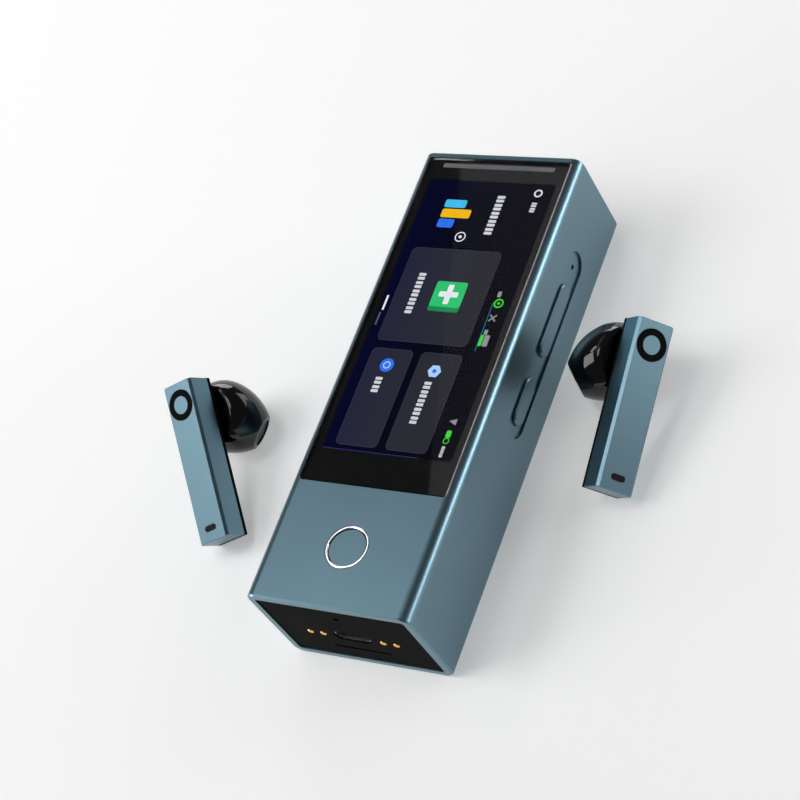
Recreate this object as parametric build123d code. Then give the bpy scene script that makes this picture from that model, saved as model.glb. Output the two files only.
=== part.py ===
from build123d import *
from math import asin, cos, pi, radians, sin, sqrt
import os

# Handheld translator: a rectangular metal tube with a touch screen on its front, a home button
# under the screen, side keys, a black end cap with the charging port, and a flip lid on the top
# end over a bay for two wireless earbuds. The two earbuds lie on the table beside the hub.
#
# Millimetres. The hub lies on its back: +Z is the way the screen faces, +Y points to the lid end,
# +X to the side with the keys. The origin is the middle of the hub's back face.

# ---------------------------------------------------------------- hub casing
hub_length = 118.0
hub_width = 41.0
hub_depth = 27.0
hub_corner_radius = 2.5
wall = 1.9
bore_corner_radius = 0.8
rim_chamfer = 0.4
fit_gap = 0.05                  # round a fixed piece that slides into its seat
running_gap = 0.1               # round a piece that moves

# ---------------------------------------------------------------- screen
lower_panel_length = 29.05      # metal front below the glass
glass_side_margin = 1.82
glass_top_margin = 1.5
glass_thickness = 0.8
glass_corner_radius = 0.8
glass_edge_chamfer = 0.2
glass_gap = 0.06
glass_ledge = 1.0
opening_corner_radius = 0.5
mask_thickness = 0.15
display_side_margin = 1.73      # glass edge to display edge
display_thickness = 1.2
display_top_margin = 5.3
display_bottom_margin = 8.15
display_corner_radius = 0.5
mask_overlap = 0.5              # mask over the display's edge
strip_length = 29.2
strip_width = 1.3
strip_drop = 1.7                # glass edge to the middle of the light strip
strip_corner_radius = 0.32

# ---------------------------------------------------------------- home button
home_from_bottom = 14.45
ring_diameter = 10.3
ring_width = 0.6
ring_height = 0.9
ring_proud = 0.05
ring_edge_radius = 0.22
home_recess = 0.3
home_cap_edge_radius = 0.12
home_travel = 0.35
home_flange_overlap = 0.75
home_flange_thickness = 0.5
nub_radius = 1.2
nub_length = 0.4
switch_clearance = 0.08
home_switch_size = 4.6
home_switch_height = 1.3
dome_height = 0.5
dome_radius = 1.6

# ---------------------------------------------------------------- side keys
key_line_z = 13.28
key_recess_depth = 0.5
key_recess_width = 7.2
key_recess_top_drop = 20.55     # top end to the centre of the recess's upper arc
key_recess_end_margin = 3.05    # recess end to the power key's end
rocker_top_drop = 25.65
rocker_length = 18.9
key_spacing = 6.1               # rocker to power key
power_length = 11.9
key_width = 4.4
key_proud = 0.3
key_edge_chamfer = 0.3
key_flange_overlap = 0.5
key_flange_gap = 0.4            # room for the rocker's tilt
key_flange_thickness = 0.6
key_travel = 0.35
rocker_nub_reach = 6.0
side_dome_height = 0.42
side_board_thickness = 0.7
side_board_width = 5.6
side_board_overhang = 1.4
side_board_room = 0.3           # round the side board and the key flanges
side_microphone_hole = 1.2
side_microphone_size = 2.9
side_microphone_thickness = 0.9

# ---------------------------------------------------------------- bottom end
cap_recess = 0.25
cap_thickness = 1.5
contact_pitch = 3.3
contact_inner_x = 7.6
contact_z = 11.9
contact_radius = 0.8
contact_shank_radius = 0.5
contact_length = 4.3
contact_leg = 0.8
contact_chamfer = 0.13
usb_z = 12.2
usb_width = 8.94
usb_height = 3.26
usb_shell = 0.3
usb_length = 7.3
usb_recess = 0.3
usb_tongue_width = 6.69
usb_tongue_thickness = 0.7
usb_tongue_recess = 0.7
usb_block_length = 1.2
usb_cutout_gap = 0.2
microphone_drop = 6.3           # hub's front face to the microphone hole
microphone_hole = 1.3
microphone_size = 2.5
microphone_thickness = 1.0
speaker_slot_z = 6.5
speaker_slot_length = 14.8
speaker_slot_height = 0.8
speaker_width = 18.0
speaker_length = 10.2
speaker_top_gap = 1.3           # speaker to the lower board
antenna_width = 7.0
antenna_height = 6.0
antenna_thickness = 0.6
antenna_side_gap = 1.3
antenna_drop = 8.5

# ---------------------------------------------------------------- inside
seat_gap = 0.1
inner_spacing = 1.0             # between large pieces inside
chassis_thickness = 0.4
chassis_flange_depth = 5.0
chassis_flange_thickness = 0.6
bracket_thickness = 0.55
board_thickness = 1.0
main_board_top = 17.5
main_board_inset = 4.4          # board edge to the bore's side wall
lower_board_length = 28.4
lower_board_inset = 2.6
post_radius = 1.6
post_inset = 1.9                # board edge to post centre
post_clearance = 0.3            # post to the contacts' tails
screw_radius = 0.7
screw_head_radius = 1.2
screw_head_height = 0.8
screw_length = 3.0
screw_gap = 0.02
shield_height = 1.8
shield_width = 19.0
shield_lengths = (16.0, 13.0, 11.0)
shield_spacing = 2.0
shield_edge_radius = 0.36
battery_end_gap = 1.9           # battery to the cradle
battery_height = 10.0
battery_edge = 1.5
motor_radius = 4.0
motor_height = 2.8
motor_from_bottom = 21.0
ribbon_width = 12.0
ribbon_thickness = 0.2
ribbon_foot = 4.6
ribbon_slot_gap = 0.6
ribbon_clearance = 0.8          # ribbon to the main board's edge

# ---------------------------------------------------------------- earbuds
stem_length = 38.5
stem_width = 8.9
stem_depth = 7.2
stem_wall = 0.6
stem_end_wall = 0.8
stem_edge_chamfer = 0.6
stem_end_chamfer = 0.15
back_cover_thickness = 1.2
back_cover_radius = 0.3
touch_ring_drop = 5.4
touch_ring_outer = 7.4
touch_ring_inner = 4.2
touch_ring_depth = 0.35
stem_slot_rise = 3.1
stem_slot_length = 3.5
stem_slot_width = 1.5
stem_slot_recess = 0.1
stem_contact_rise = 3.0
stem_contact_pitch = 2.6
stem_contact_radius = 0.9
stem_contact_depth = 0.5
stem_board_thickness = 0.8
stem_board_gap = 0.2
bud_radius = 8.5
bud_face_radius = 4.3
bud_face_bulge = 0.45
bud_front_length = 10.0         # widest ring to front face
bud_aside = 0.7                 # widest ring's centre from the stem's centre
bud_rise = 11.3
bud_set_back = 9.9
bud_aim_aside = 0.635
bud_aim_down = 0.637
bud_aim_back = 0.44
neck_length = 1.0
neck_radius = 3.6
neck_aside = 0.4
neck_root = 0.5                 # how far the neck reaches into the bud
bud_back_fillet = 1.5
front_cap_depth = 1.0
grille_radius = 3.2
grille_thickness = 0.35
grille_seat = 0.4
grille_sink = 0.15
driver_radius = 4.6
driver_length = 3.1
coin_radius = 4.5
coin_length = 4.9

# Where the earbuds lie: centre of the stem, its heading from +Y towards +X, its rise, its roll.
left_spot = (-55.7, -21.7)
left_heading = -27.1
left_rise = 25.0
left_roll = -19.8
right_spot = (43.9, 5.2)
right_heading = 2.8
right_rise = 15.4
right_roll = 53.2

# ---------------------------------------------------------------- lid and earbud bay
lid_recess = 0.25
lid_thickness = 1.9
lid_gap = 0.15
hinge_floor_gap = 0.12
hinge_pin_radius = 0.5
hinge_pin_play = 0.05
hinge_pin_grip = 1.0
lid_magnet_width = 8.0
lid_magnet_height = 2.6
lid_magnet_thickness = 0.9
keeper_height = 2.0
keeper_depth = 1.4
nail_nick_width = 9.0
nail_nick_height = 1.2
nail_nick_depth = 0.5
nail_nick_drop = 1.6
bay_gap = 0.15                  # stored earbud to the bore
bay_end_gap = 0.55
well_side_gap = 0.25
well_end_gap = 0.4
well_roof_gap = 0.45
well_roof = 0.6
well_floor = 3.0
bulkhead = 0.8
bulkhead_roof_gap = 0.1
cradle_magnet_radius = 1.2
cradle_magnet_length = 4.0
cradle_magnet_inset = 1.75
charge_pin_radius = 0.5
charge_pin_flange_radius = 0.8
charge_pin_flange = 0.5
charge_pin_reach = 0.4          # how far a stored stem pushes the pin in
charge_pin_bore_play = 0.05
charge_pin_tip_chamfer = 0.2
pin_boss_width = 3.4
pin_boss_length = 6.0
pin_boss_height = 1.9
pin_board_thickness = 0.6
pin_board_margin = 0.4

# ---------------------------------------------------------------- derived places
end_y = hub_length / 2
side_x = hub_width / 2
bore_x = side_x - wall
bore_floor = wall
bore_roof = hub_depth - wall
bore_mid_z = hub_depth / 2

glass_top = end_y - glass_top_margin
glass_bottom = lower_panel_length - end_y
glass_length = glass_top - glass_bottom
glass_mid_y = (glass_top + glass_bottom) / 2
glass_width = hub_width - 2 * glass_side_margin
glass_floor = hub_depth - glass_thickness
mask_floor = glass_floor - mask_thickness
display_top_y = glass_top - display_top_margin
display_bottom_y = glass_bottom + display_bottom_margin
display_length = display_top_y - display_bottom_y
display_width = glass_width - 2 * display_side_margin
display_mid_y = (display_top_y + display_bottom_y) / 2
display_roof = mask_floor - fit_gap
display_floor = display_roof - display_thickness
strip_y = glass_top - strip_drop
chassis_top = display_floor - fit_gap
chassis_floor = chassis_top - chassis_thickness

home_y = home_from_bottom - end_y
ring_radius = ring_diameter / 2
ring_bore = ring_radius - ring_width
ring_floor = hub_depth + ring_proud - ring_height
home_cap_radius = ring_bore - running_gap
home_flange_top = bore_roof - running_gap
home_flange_floor = home_flange_top - home_flange_thickness
home_nub_floor = home_flange_floor - nub_length
home_switch_top = home_nub_floor - home_travel - switch_clearance
lower_plate_top = home_switch_top - home_switch_height
lower_plate_floor = lower_plate_top - chassis_thickness

key_recess_floor = side_x - key_recess_depth
key_recess_top_y = end_y - key_recess_top_drop
rocker_mid_y = end_y - rocker_top_drop - rocker_length / 2
power_top_y = rocker_mid_y - rocker_length / 2 - key_spacing
power_mid_y = power_top_y - power_length / 2
key_recess_start_y = power_top_y - power_length - key_recess_end_margin
key_recess_end_y = key_recess_top_y + key_recess_width / 2
key_flange_outer = bore_x - key_flange_gap
key_flange_inner = key_flange_outer - key_flange_thickness
key_nub_inner = key_flange_inner - nub_length
side_dome_top = key_nub_inner - key_travel - switch_clearance
side_board_outer = side_dome_top - side_dome_height
side_board_inner = side_board_outer - side_board_thickness
bracket_outer = side_board_inner - fit_gap
side_board_top_y = rocker_mid_y + rocker_length / 2 + side_board_overhang
side_board_bottom_y = power_mid_y - power_length / 2 - side_board_overhang

cap_face_y = cap_recess - end_y
cap_inner_y = cap_face_y + cap_thickness
contact_face_y = cap_face_y - fit_gap
contact_tail_y = contact_face_y + contact_length
microphone_z = hub_depth - microphone_drop
contact_xs = [side * (contact_inner_x + step * contact_pitch) for side in (-1, 1) for step in (0, 1)]
usb_mouth_y = cap_face_y + usb_recess
usb_back_y = usb_mouth_y + usb_length
lower_board_top = usb_z - usb_height / 2 - fit_gap
lower_board_floor = lower_board_top - board_thickness
lower_board_start = cap_inner_y + microphone_thickness + 2 * seat_gap
lower_board_end = lower_board_start + lower_board_length
lower_board_x = bore_x - lower_board_inset
lower_post_x = lower_board_x - post_inset
lower_post_ys = (contact_tail_y + post_radius + post_clearance, lower_board_end - post_inset)
chassis_step_y = glass_bottom - glass_ledge

hinge_radius = lid_thickness / 2
lid_outer_y = end_y - lid_recess
lid_inner_y = lid_outer_y - lid_thickness
hinge_y = lid_outer_y - hinge_radius
hinge_z = bore_floor + hinge_radius + hinge_floor_gap
lid_top_z = bore_roof - lid_gap
lid_half_width = bore_x - lid_gap
lid_neck_half_width = bore_x - bore_corner_radius - lid_gap
lid_neck_height = end_y - hinge_y + lid_gap

bud_aim = Vector(bud_aim_aside, -bud_aim_down, -bud_aim_back).normalized()
bud_reach_aside = bud_aside + bud_front_length * bud_aim.X + bud_face_radius * sqrt(1 - bud_aim.X ** 2)
bud_reach_down = bud_front_length * -bud_aim.Y + bud_face_radius * sqrt(1 - bud_aim.Y ** 2)
stored_x = bore_x - bay_gap - bud_reach_aside
stored_y = lid_inner_y - bay_end_gap - stem_length / 2
stored_z = bore_floor + bay_gap + stem_depth / 2
chamber_floor_y = stored_y + bud_rise - bud_reach_down - well_end_gap
well_floor_y = stored_y - stem_length / 2 - well_end_gap
well_roof_z = stored_z + stem_depth / 2 + well_roof_gap
cradle_start_y = well_floor_y - well_floor
cradle_top_z = well_roof_z + well_roof
bulkhead_start_y = chamber_floor_y - bulkhead
charge_pin_start = stored_y - stem_length / 2 + stem_contact_rise
charge_pin_ys = [charge_pin_start + step * stem_contact_pitch for step in (0, 1)]
charge_pin_tip = stored_z + stem_depth / 2 - charge_pin_reach
pin_boss_y = sum(charge_pin_ys) / len(charge_pin_ys)
pin_boss_top = cradle_top_z + pin_boss_height

main_board_floor = main_board_top - board_thickness
main_board_x = bore_x - main_board_inset
battery_start = lower_board_end + inner_spacing
battery_end = cradle_start_y - battery_end_gap
battery_x = bracket_outer - bracket_thickness - fit_gap
main_board_start = battery_start + inner_spacing
main_board_end = bulkhead_start_y - inner_spacing
main_post_x = main_board_x - post_inset
main_post_ys = (main_board_start + post_inset, main_board_end - post_inset)
ribbon_y = main_board_start - ribbon_clearance


# ---------------------------------------------------------------- shape helpers
flat_tolerance = 0.001


def block(x_span, y_span, z_span):
    spans = (x_span, y_span, z_span)
    middle = [(low + high) / 2 for low, high in spans]
    return Pos(*middle) * Box(*[high - low for low, high in spans])


def rod_x(radius, x_span, y, z):
    low, high = x_span
    return Pos((low + high) / 2, y, z) * Rot(0, 90, 0) * Cylinder(radius, high - low)


def rod_y(radius, y_span, x, z):
    low, high = y_span
    return Pos(x, (low + high) / 2, z) * Rot(90, 0, 0) * Cylinder(radius, high - low)


def rod_z(radius, z_span, x, y):
    low, high = z_span
    return Pos(x, y, (low + high) / 2) * Cylinder(radius, high - low)


def bar_y(width, depth, radius, y_span, z=bore_mid_z):
    """Rounded bar along Y, centred on the hub's axis."""
    low, high = y_span
    outline = RectangleRounded(width, depth, radius)
    return Pos(0, high, 0) * extrude(Plane.XZ * Pos(0, z) * outline, high - low)


def slot_x(length, width, x_span, y, z):
    """Round-ended bar whose length runs along Y and which is extruded along X."""
    low, high = x_span
    return Pos(low, 0, 0) * extrude(Plane.YZ * Pos(y, z) * SlotOverall(length, width), high - low)


def slot_y(length, width, y_span, x, z):
    """Round-ended bar whose length runs along X and which is extruded along Y."""
    low, high = y_span
    return Pos(0, high, 0) * extrude(Plane.XZ * Pos(x, z) * SlotOverall(length, width), high - low)


def plate_z(width, length, radius, z_span, y):
    low, high = z_span
    return Pos(0, y, low) * extrude(RectangleRounded(width, length, radius), high - low)


def bore_room():
    """The space inside the tube that a fixed piece may fill, with its rounded corners."""
    depth = bore_roof - bore_floor - 2 * fit_gap
    return bar_y(2 * (bore_x - fit_gap), depth, bore_corner_radius - fit_gap, (cap_inner_y, lid_inner_y))


def edges_at(shape, axis, place):
    """Edges that lie wholly in the plane where the axis has this value."""
    found = []
    for edge in shape.edges():
        box = edge.bounding_box()
        low, high = getattr(box.min, axis), getattr(box.max, axis)
        if max(abs(low - place), abs(high - place)) < flat_tolerance:
            found.append(edge)
    return found


# ---------------------------------------------------------------- casing
def housing_tube():
    tube = bar_y(hub_width, hub_depth, hub_corner_radius, (-end_y, end_y))
    tube = chamfer(edges_at(tube, "Y", -end_y) + edges_at(tube, "Y", end_y), rim_chamfer)
    tube -= bar_y(2 * bore_x, bore_roof - bore_floor, bore_corner_radius, (-end_y - wall, end_y + wall))
    pocket_span = (mask_floor, hub_depth + wall)
    opening_span = (bore_roof - wall, mask_floor + wall)
    pocket = (glass_width + 2 * glass_gap, glass_length + 2 * glass_gap)
    opening = (glass_width - 2 * glass_ledge, glass_length - 2 * glass_ledge)
    tube -= plate_z(*pocket, glass_corner_radius, pocket_span, glass_mid_y)
    tube -= plate_z(*opening, opening_corner_radius, opening_span, glass_mid_y)
    tube -= rod_z(ring_radius + fit_gap, (ring_floor, hub_depth + wall), 0, home_y)
    tube -= rod_z(ring_bore, (bore_roof - wall, hub_depth), 0, home_y)
    recess_length = key_recess_end_y - key_recess_start_y
    recess_mid_y = (key_recess_end_y + key_recess_start_y) / 2
    recess_span = (key_recess_floor, side_x + wall)
    tube -= slot_x(recess_length, key_recess_width, recess_span, recess_mid_y, key_line_z)
    through = (bore_x - wall, side_x)
    for middle, length in ((rocker_mid_y, rocker_length), (power_mid_y, power_length)):
        tube -= slot_x(length + 2 * running_gap, key_width + 2 * running_gap, through, middle, key_line_z)
    tube -= rod_x(side_microphone_hole / 2, through, key_recess_top_y, key_line_z)
    for side in (-1, 1):
        grip = sorted((side * (bore_x - wall), side * (bore_x + hinge_pin_grip + fit_gap)))
        tube -= rod_x(hinge_pin_radius + screw_gap, grip, hinge_y, hinge_z)
    return tube


def bottom_end_cap():
    width = 2 * (bore_x - fit_gap)
    depth = bore_roof - bore_floor - 2 * fit_gap
    cap = bar_y(width, depth, bore_corner_radius - fit_gap, (cap_face_y, cap_inner_y))
    through = (cap_face_y - wall, cap_inner_y + wall)
    cap -= slot_y(usb_width + 2 * usb_cutout_gap, usb_height + 2 * usb_cutout_gap, through, 0, usb_z)
    for x in contact_xs:
        cap -= rod_y(contact_radius + fit_gap, through, x, contact_z)
    cap -= rod_y(microphone_hole / 2, through, 0, microphone_z)
    cap -= slot_y(speaker_slot_length, speaker_slot_height, through, 0, speaker_slot_z)
    return cap


def top_lid():
    lid = block((-lid_half_width, lid_half_width), (lid_inner_y, lid_outer_y), (hinge_z, lid_top_z))
    corners = [edge for edge in lid.edges().filter_by(Axis.Y) if edge.center().Z > hinge_z + hinge_radius]
    lid = fillet(corners, bore_corner_radius)
    for side in (-1, 1):
        notch_x = sorted((side * lid_neck_half_width, side * side_x))
        lid -= block(notch_x, (lid_inner_y, lid_outer_y), (hinge_z, hinge_z + lid_neck_height))
    lid += rod_x(hinge_radius, (-lid_neck_half_width, lid_neck_half_width), hinge_y, hinge_z)
    lid -= rod_x(hinge_pin_radius + hinge_pin_play, (-side_x, side_x), hinge_y, hinge_z)
    nick_z = lid_top_z - nail_nick_drop
    lid -= slot_y(nail_nick_width, nail_nick_height, (lid_outer_y - nail_nick_depth, end_y), 0, nick_z)
    magnet_z = lid_magnet_middle()
    lid -= block(
        (-lid_magnet_width / 2 - fit_gap, lid_magnet_width / 2 + fit_gap),
        (lid_inner_y, lid_inner_y + lid_magnet_thickness + fit_gap),
        (magnet_z - lid_magnet_height / 2 - fit_gap, magnet_z + lid_magnet_height / 2 + fit_gap),
    )
    return lid


def lid_magnet_middle():
    """Height of the lid's magnet: level with the keeper that hangs under the chassis."""
    return chassis_floor - keeper_height / 2


def lid_magnet():
    magnet_z = lid_magnet_middle()
    return block(
        (-lid_magnet_width / 2, lid_magnet_width / 2),
        (lid_inner_y, lid_inner_y + lid_magnet_thickness),
        (magnet_z - lid_magnet_height / 2, magnet_z + lid_magnet_height / 2),
    )


def keeper_magnet():
    keeper_end = lid_inner_y - lid_gap
    return block(
        (-lid_magnet_width / 2, lid_magnet_width / 2),
        (keeper_end - keeper_depth, keeper_end),
        (chassis_floor - keeper_height, chassis_floor),
    )


def lid_hinge_pin():
    reach = bore_x + hinge_pin_grip
    return rod_x(hinge_pin_radius, (-reach, reach), hinge_y, hinge_z)


# ---------------------------------------------------------------- screen
def cover_glass():
    glass = plate_z(glass_width, glass_length, glass_corner_radius, (glass_floor, hub_depth), glass_mid_y)
    return chamfer(edges_at(glass, "Z", hub_depth), glass_edge_chamfer)


def bezel_mask():
    span = (mask_floor, glass_floor)
    mask = plate_z(glass_width, glass_length, glass_corner_radius, span, glass_mid_y)
    window = (display_width - 2 * mask_overlap, display_length - 2 * mask_overlap)
    mask -= plate_z(*window, display_corner_radius, span, display_mid_y)
    return mask - plate_z(strip_length, strip_width, strip_corner_radius, span, strip_y)


def display_panel():
    span = (display_floor, display_roof)
    return plate_z(display_width, display_length, display_corner_radius, span, display_mid_y)


def status_light_strip():
    guide = plate_z(strip_length, strip_width, strip_corner_radius, (display_floor, display_roof), strip_y)
    window = (strip_length - 2 * fit_gap, strip_width - 2 * fit_gap)
    window_span = (display_roof, glass_floor - fit_gap)
    return guide + plate_z(*window, strip_corner_radius - fit_gap, window_span, strip_y)


def display_ribbon():
    half = ribbon_width / 2
    drop = block((-half, half), (ribbon_y - ribbon_thickness / 2, ribbon_y + ribbon_thickness / 2),
                 (main_board_top, display_floor))
    foot = block((-half, half), (ribbon_y - ribbon_thickness / 2, main_board_start + ribbon_foot),
                 (main_board_top, main_board_top + ribbon_thickness))
    return drop + foot


# ---------------------------------------------------------------- home button
def home_button_ring():
    ring = rod_z(ring_radius, (ring_floor, ring_floor + ring_height), 0, home_y)
    ring -= rod_z(ring_bore, (ring_floor, ring_floor + ring_height), 0, home_y)
    return fillet(edges_at(ring, "Z", ring_floor + ring_height), ring_edge_radius)


def home_button_cap():
    cap_top = hub_depth - home_recess
    cap = rod_z(home_cap_radius, (home_flange_floor, cap_top), 0, home_y)
    cap = fillet(edges_at(cap, "Z", cap_top), home_cap_edge_radius)
    cap += rod_z(ring_bore + home_flange_overlap, (home_flange_floor, home_flange_top), 0, home_y)
    return cap + rod_z(nub_radius, (home_nub_floor, home_flange_floor), 0, home_y)


def home_dome_switch():
    half = home_switch_size / 2
    base_top = home_switch_top - dome_height
    base = block((-half, half), (home_y - half, home_y + half), (lower_plate_top, base_top))
    return base + rod_z(dome_radius, (base_top, home_switch_top), 0, home_y)


# ---------------------------------------------------------------- side keys
def side_key(middle, length, nub_ys):
    key_top = side_x + key_proud
    key = slot_x(length, key_width, (key_flange_inner, key_top), middle, key_line_z)
    key = chamfer(edges_at(key, "X", key_top), key_edge_chamfer)
    flange = (length + 2 * key_flange_overlap, key_width + 2 * key_flange_overlap)
    key += slot_x(*flange, (key_flange_inner, key_flange_outer), middle, key_line_z)
    for nub_y in nub_ys:
        key += rod_x(nub_radius, (key_nub_inner, key_flange_inner), nub_y, key_line_z)
    return key


rocker_nubs = (rocker_mid_y - rocker_nub_reach, rocker_mid_y + rocker_nub_reach)


def volume_rocker():
    return side_key(rocker_mid_y, rocker_length, rocker_nubs)


def power_key():
    return side_key(power_mid_y, power_length, (power_mid_y,))


def side_switch_board():
    half = side_board_width / 2
    return block((side_board_inner, side_board_outer), (side_board_bottom_y, side_board_top_y),
                 (key_line_z - half, key_line_z + half))


def side_dome_switches():
    domes = Part()
    for y in (*rocker_nubs, power_mid_y):
        domes += rod_x(dome_radius, (side_board_outer, side_dome_top), y, key_line_z)
    return domes


def side_microphone():
    half = side_microphone_size / 2
    outer = bore_x - fit_gap
    y_span = (key_recess_top_y - half, key_recess_top_y + half)
    return block((outer - side_microphone_thickness, outer), y_span, (key_line_z - half, key_line_z + half))


# ---------------------------------------------------------------- bottom end
def dock_contacts():
    contacts = Part()
    half = contact_leg / 2
    shank_start = cap_inner_y + half
    for x in contact_xs:
        pad = rod_y(contact_radius, (contact_face_y, shank_start), x, contact_z)
        pad = chamfer(edges_at(pad, "Y", contact_face_y), contact_chamfer)
        pad += rod_y(contact_shank_radius, (shank_start, contact_tail_y), x, contact_z)
        leg_span = (contact_tail_y - contact_leg, contact_tail_y)
        pad += block((x - half, x + half), leg_span, (lower_board_top, contact_z))
        contacts += pad
    return contacts


def usb_shell_bar(inset, y_span):
    return slot_y(usb_width - 2 * inset, usb_height - 2 * inset, y_span, 0, usb_z)


def usb_receptacle_shell():
    span = (usb_mouth_y, usb_back_y)
    return usb_shell_bar(0, span) - usb_shell_bar(usb_shell, span)


def usb_tongue():
    block_start = usb_back_y - usb_block_length
    plug = usb_shell_bar(usb_shell + fit_gap, (block_start, usb_back_y))
    half = usb_tongue_width / 2
    thick = usb_tongue_thickness / 2
    tongue_span = (usb_mouth_y + usb_tongue_recess, block_start)
    tongue = block((-half, half), tongue_span, (usb_z - thick, usb_z + thick))
    return plug + tongue


def bottom_microphone():
    half = microphone_size / 2
    start = cap_inner_y + seat_gap
    y_span = (start, start + microphone_thickness)
    return block((-half, half), y_span, (microphone_z - half, microphone_z + half))


def loudspeaker():
    start = cap_inner_y + seat_gap
    span = (bore_floor + seat_gap, lower_board_floor - speaker_top_gap)
    box = block((-speaker_width / 2, speaker_width / 2), (start, start + speaker_length), span)
    return fillet(box.edges().filter_by(Axis.Y), bore_corner_radius)


def antenna_module():
    start = cap_inner_y + seat_gap
    outer = antenna_side_gap - bore_x
    middle_z = hub_depth - antenna_drop
    z_span = (middle_z - antenna_height / 2, middle_z + antenna_height / 2)
    return block((outer, outer + antenna_width), (start, start + antenna_thickness), z_span)


def lower_board():
    board = block((-lower_board_x, lower_board_x), (lower_board_start, lower_board_end),
                  (lower_board_floor, lower_board_top))
    for x, y in lower_screw_places():
        board -= rod_z(screw_radius + running_gap, (lower_board_floor, lower_board_top), x, y)
    return board


# ---------------------------------------------------------------- inside
def lower_screw_places():
    return [(side * lower_post_x, y) for side in (-1, 1) for y in lower_post_ys]


def main_screw_places():
    return [(side * main_post_x, y) for side in (-1, 1) for y in main_post_ys]


def chassis():
    plate_x = bore_x - fit_gap
    upper_end = lid_inner_y - lid_gap
    frame = block((-plate_x, plate_x), (chassis_step_y, upper_end), (chassis_floor, chassis_top))
    lower_span = (lower_board_start, chassis_step_y)
    frame += block((-plate_x, plate_x), lower_span, (lower_plate_floor, lower_plate_top))
    step_wall = (chassis_step_y - chassis_thickness, chassis_step_y)
    frame += block((-plate_x, plate_x), step_wall, (lower_plate_floor, chassis_top))
    upper_span = (chassis_step_y, bulkhead_start_y - seat_gap)
    for side in (-1, 1):
        flange_x = sorted((side * plate_x, side * (plate_x - chassis_flange_thickness)))
        for y_span, top in ((lower_span, lower_plate_top), (upper_span, chassis_top)):
            frame += block(flange_x, y_span, (top - chassis_flange_depth, top))
    bracket_span = (bracket_outer - bracket_thickness, bracket_outer)
    frame += block(bracket_span, (side_board_bottom_y, side_board_top_y),
                   (key_line_z - side_board_width / 2, chassis_top))
    for x, y in lower_screw_places():
        frame += rod_z(post_radius, (lower_board_top, lower_plate_top), x, y)
        frame -= rod_z(screw_radius + screw_gap, (lower_board_top, lower_board_top + screw_length), x, y)
    for x, y in main_screw_places():
        frame += rod_z(post_radius, (main_board_top, chassis_top), x, y)
        frame -= rod_z(screw_radius + screw_gap, (main_board_top, main_board_top + screw_length), x, y)
    slot_half = ribbon_width / 2 + ribbon_slot_gap
    slot_y_span = (ribbon_y - ribbon_slot_gap, ribbon_y + ribbon_slot_gap)
    frame -= block((-slot_half, slot_half), slot_y_span, (chassis_floor, chassis_top))
    return frame & bore_room()


def main_board():
    board = block((-main_board_x, main_board_x), (main_board_start, main_board_end),
                  (main_board_floor, main_board_top))
    for x, y in main_screw_places():
        board -= rod_z(screw_radius + running_gap, (main_board_floor, main_board_top), x, y)
    return board


def board_screws():
    screws = Part()
    places = [(x, y, lower_board_floor) for x, y in lower_screw_places()]
    places += [(x, y, main_board_floor) for x, y in main_screw_places()]
    for x, y, seat in places:
        head = rod_z(screw_head_radius, (seat - screw_head_height, seat), x, y)
        shank_end = seat + board_thickness + screw_length - seat_gap
        screws += head + rod_z(screw_radius, (seat, shank_end), x, y)
    return screws


def shield_cans():
    cans = Part()
    start = main_post_ys[0] + post_radius + shield_spacing
    for length in shield_lengths:
        can = block((-shield_width / 2, shield_width / 2), (start, start + length),
                    (main_board_top, main_board_top + shield_height))
        cans += fillet(edges_at(can, "Z", main_board_top + shield_height), shield_edge_radius)
        start += length + shield_spacing
    return cans


def battery_cell():
    floor = bore_floor + seat_gap
    cell = block((-battery_x, battery_x), (battery_start, battery_end), (floor, floor + battery_height))
    return fillet(cell.edges().filter_by(Axis.Y), battery_edge)


def vibration_motor():
    floor = bore_floor + seat_gap
    return rod_z(motor_radius, (floor, floor + motor_height), 0, motor_from_bottom - end_y)


# ---------------------------------------------------------------- earbud cradle
def earbud_cradle():
    cradle_x = bore_x - fit_gap
    floor = bore_floor + fit_gap
    cradle = block((-cradle_x, cradle_x), (cradle_start_y, chamber_floor_y), (floor, cradle_top_z))
    bulkhead_span = (floor, chassis_floor - bulkhead_roof_gap)
    cradle += block((-cradle_x, cradle_x), (bulkhead_start_y, chamber_floor_y), bulkhead_span)
    cradle = cradle & bore_room()
    cradle -= block((bracket_outer - bracket_thickness - side_board_room, side_x),
                    (side_board_bottom_y - side_board_room, side_board_top_y + side_board_room),
                    (key_line_z - side_board_width / 2 - side_board_room, bulkhead_span[1]))
    well_half = stem_width / 2 + well_side_gap
    for side in (-1, 1):
        middle = side * stored_x
        boss_half = pin_boss_width / 2
        boss_ys = (pin_boss_y - pin_boss_length / 2, pin_boss_y + pin_boss_length / 2)
        cradle += block((middle - boss_half, middle + boss_half), boss_ys, (cradle_top_z, pin_boss_top))
        well_xs = (middle - well_half, middle + well_half)
        cradle -= block(well_xs, (well_floor_y, chamber_floor_y), (0, well_roof_z))
        for y in charge_pin_ys:
            cradle -= rod_z(charge_pin_radius + charge_pin_bore_play, (well_roof_z, cradle_top_z), middle, y)
            cradle -= rod_z(charge_pin_flange_radius + running_gap, (cradle_top_z, pin_boss_top), middle, y)
    for x in cradle_magnet_xs():
        bore = (chamber_floor_y - cradle_magnet_length - fit_gap, chamber_floor_y)
        cradle -= rod_y(cradle_magnet_radius + fit_gap, bore, x, stored_z)
    mic_half = side_microphone_size / 2 + fit_gap
    mic_inner = bore_x - side_microphone_thickness - 2 * fit_gap
    cradle -= block((mic_inner, side_x), (key_recess_top_y - mic_half, key_recess_top_y + mic_half),
                    (key_line_z - mic_half, key_line_z + mic_half))
    return cradle


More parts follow.
